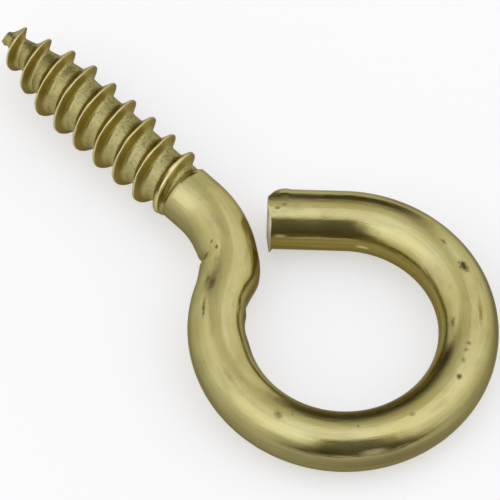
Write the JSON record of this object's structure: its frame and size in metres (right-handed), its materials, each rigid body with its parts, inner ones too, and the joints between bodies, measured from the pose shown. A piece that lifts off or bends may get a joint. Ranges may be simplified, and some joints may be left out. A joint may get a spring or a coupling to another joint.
{
  "type": "screw eye",
  "caption": "Open screw eye bent from round brass wire: a round eye with a straight tail, an offset neck, and a shank with a coarse right-hand wood thread and gimlet point.",
  "frame": {"origin": "centre of the bounding box's bottom face, on the surface that the screw eye lies on", "axes": "X runs along the shank from the point at -X to the eye at +X; the eye lies nearly flat, with its axis close to +Z; Y crosses the eye"},
  "size_m": [0.0261, 0.0128, 0.0032],
  "materials": {
    "brass": "drawn brass wire, bright with light tarnish spots; thread roots duller from rolling"
  },
  "bodies": {
    "root": {"screw_eye": "brass"}
  },
  "joints": []
}
